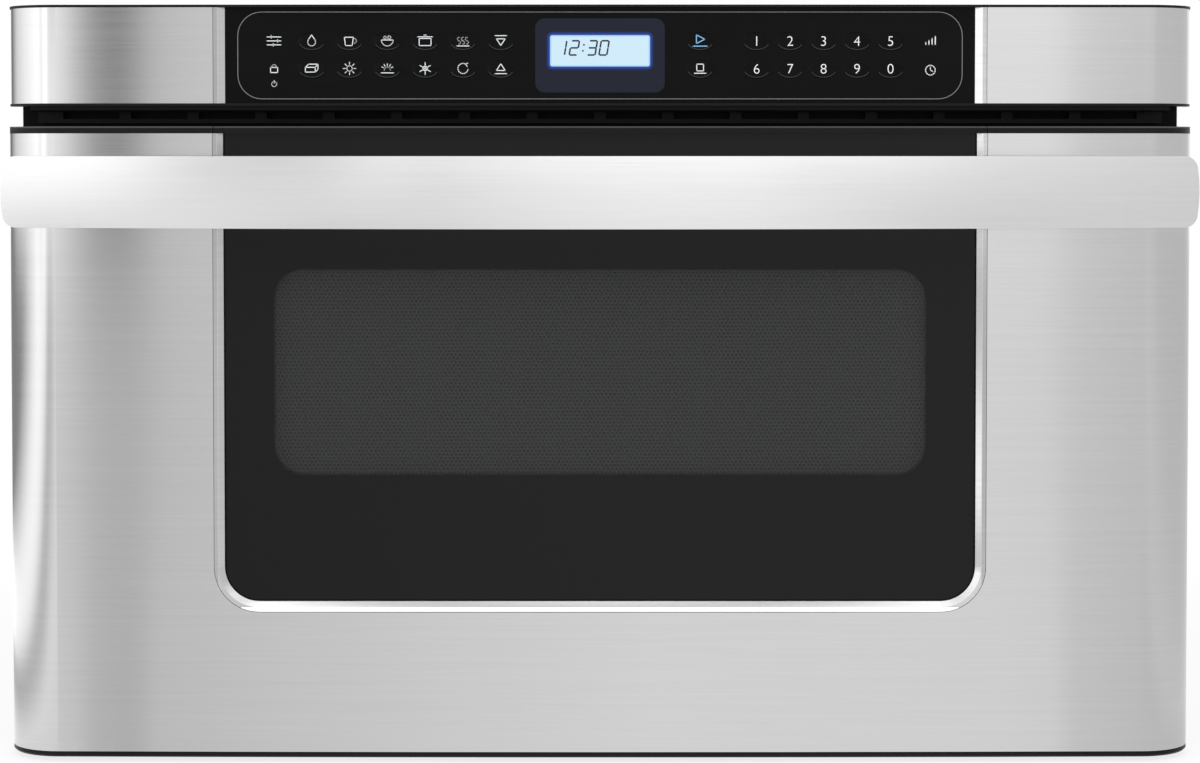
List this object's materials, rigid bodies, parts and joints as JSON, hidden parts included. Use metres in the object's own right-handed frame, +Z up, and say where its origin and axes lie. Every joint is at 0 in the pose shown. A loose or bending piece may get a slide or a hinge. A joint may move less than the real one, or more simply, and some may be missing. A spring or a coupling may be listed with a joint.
{
  "type": "microwave drawer",
  "caption": "Built-in microwave drawer with a curved brushed steel front, full-width bowed handle, black glass window and a touch control panel above a motor-driven slide-out tub.",
  "frame": {"origin": "middle of the overall width and depth, on the surface that the base pan stands on", "axes": "+X to the right as seen from in front, -Y towards the user (the drawer opens along -Y), +Z up"},
  "size_m": [0.6074, 0.672, 0.384],
  "materials": {
    "brushed_steel": "brushed, grain along the width",
    "bright_trim": "bright",
    "tinted_glass": "glossy black tint",
    "clear_glass": "clear",
    "screen_steel": "fine perforation",
    "black_moulding": "fine grain",
    "black_fascia": "polished",
    "keypad_film": "satin film",
    "display_tint": "blue tint",
    "lcd": "lit display",
    "galvanised_steel": "zinc coated sheet",
    "flange_paint": "black powder coat",
    "cavity_enamel": "smooth grey enamel",
    "glass_ceramic": "satin",
    "clear_plastic": "translucent white",
    "slide_steel": "zinc plated",
    "stirrer_aluminium": "rolled sheet",
    "motor_case": "zinc grey",
    "magnetron_metal": "plated",
    "core_steel": "varnished laminations",
    "copper_winding": "enamelled copper wire",
    "capacitor_can": "drawn can",
    "circuit_board": "solder mask",
    "lamp_glass": "bulb and socket",
    "bushing_rubber": "soft",
    "grey_plastic": "moulded",
    "white_plastic": "acetal"
  },
  "bodies": {
    "chassis": {"base_pan": "galvanised_steel", "outer_case": "galvanised_steel", "back_plate": "galvanised_steel", "cord_bushing": "bushing_rubber", "front_frame": "flange_paint", "oven_cavity": "cavity_enamel", "stirrer_cover": "clear_plastic", "waveguide": "galvanised_steel", "stirrer_motor": "motor_case", "magnetron": "magnetron_metal", "transformer_core": "core_steel", "transformer_coils": "copper_winding", "hv_capacitor": "capacitor_can", "fan_shroud": "grey_plastic", "fan_motor": "motor_case", "filter_board": "circuit_board", "oven_lamp": "lamp_glass", "slide_fixed_left": "slide_steel", "slide_fixed_right": "slide_steel", "door_switches": "grey_plastic", "drive_motor": "grey_plastic", "control_housing": "black_moulding", "panel_end_caps": "brushed_steel", "panel_trims": "bright_trim", "fascia": "black_fascia", "keypad": "keypad_film", "display_window": "display_tint", "lcd_module": "lcd", "control_board": "circuit_board", "panel_edges": "black_moulding", "air_louvre": "black_moulding"},
    "drawer": {"door_skin": "brushed_steel", "glass_trim": "bright_trim", "door_glass": "tinted_glass", "door_frame": "black_moulding", "door_top_cap": "black_moulding", "door_bottom_trim": "black_moulding", "handle": "brushed_steel", "window_screen": "screen_steel", "choke_plate": "galvanised_steel", "choke_cover": "black_moulding", "inner_window": "clear_glass", "drawer_tub": "cavity_enamel", "ceramic_floor": "glass_ceramic", "slide_inner_left": "slide_steel", "slide_inner_right": "slide_steel", "slide_arms": "galvanised_steel", "latch_hooks": "white_plastic", "drive_rack": "white_plastic"},
    "slide_middle_left_body": {"slide_middle_left": "slide_steel"},
    "slide_middle_right_body": {"slide_middle_right": "slide_steel"},
    "cage_outer_left_body": {"cage_outer_left": "slide_steel"},
    "cage_outer_right_body": {"cage_outer_right": "slide_steel"},
    "cage_inner_left_body": {"cage_inner_left": "slide_steel"},
    "cage_inner_right_body": {"cage_inner_right": "slide_steel"},
    "drive_pinion_body": {"drive_pinion": "white_plastic"},
    "stirrer_fan_body": {"stirrer_fan": "stirrer_aluminium"},
    "fan_wheel_body": {"fan_wheel": "white_plastic"}
  },
  "joints": [
    {"name": "drawer_slide", "type": "slide", "parent": "chassis", "child": "drawer", "axis": [0, -1, 0], "range_m": [0, 0.38]},
    {"name": "slide_middle_left_slide", "type": "slide", "parent": "chassis", "child": "slide_middle_left_body", "axis": [0, -1, 0], "range_m": [0, 0.19]},
    {"name": "cage_outer_left_slide", "type": "slide", "parent": "chassis", "child": "cage_outer_left_body", "axis": [0, -1, 0], "range_m": [0, 0.095]},
    {"name": "cage_inner_left_slide", "type": "slide", "parent": "chassis", "child": "cage_inner_left_body", "axis": [0, -1, 0], "range_m": [0, 0.285]},
    {"name": "slide_middle_right_slide", "type": "slide", "parent": "chassis", "child": "slide_middle_right_body", "axis": [0, -1, 0], "range_m": [0, 0.19]},
    {"name": "cage_outer_right_slide", "type": "slide", "parent": "chassis", "child": "cage_outer_right_body", "axis": [0, -1, 0], "range_m": [0, 0.095]},
    {"name": "cage_inner_right_slide", "type": "slide", "parent": "chassis", "child": "cage_inner_right_body", "axis": [0, -1, 0], "range_m": [0, 0.285]},
    {"name": "drive_pinion_spin", "type": "hinge", "parent": "chassis", "child": "drive_pinion_body", "pos_m": [0.08, -0.234, 0.046], "axis": [1, 0, 0], "range_deg": [0, 1613]},
    {"name": "stirrer_spin", "type": "hinge", "parent": "chassis", "child": "stirrer_fan_body", "pos_m": [0, -0.0465, 0.31], "axis": [0, 0, 1], "continuous": true},
    {"name": "fan_spin", "type": "hinge", "parent": "chassis", "child": "fan_wheel_body", "pos_m": [-0.148, 0.2484, 0.287], "axis": [1, 0, 0], "continuous": true}
  ],
  "couplings": [
    {"joint": "slide_middle_left_slide", "follows": "drawer_slide", "ratio": 0.5},
    {"joint": "cage_outer_left_slide", "follows": "drawer_slide", "ratio": 0.25},
    {"joint": "cage_inner_left_slide", "follows": "drawer_slide", "ratio": 0.75},
    {"joint": "slide_middle_right_slide", "follows": "drawer_slide", "ratio": 0.5},
    {"joint": "cage_outer_right_slide", "follows": "drawer_slide", "ratio": 0.25},
    {"joint": "cage_inner_right_slide", "follows": "drawer_slide", "ratio": 0.75},
    {"joint": "drive_pinion_spin", "follows": "drawer_slide", "rad_per_m": 74.074}
  ]
}
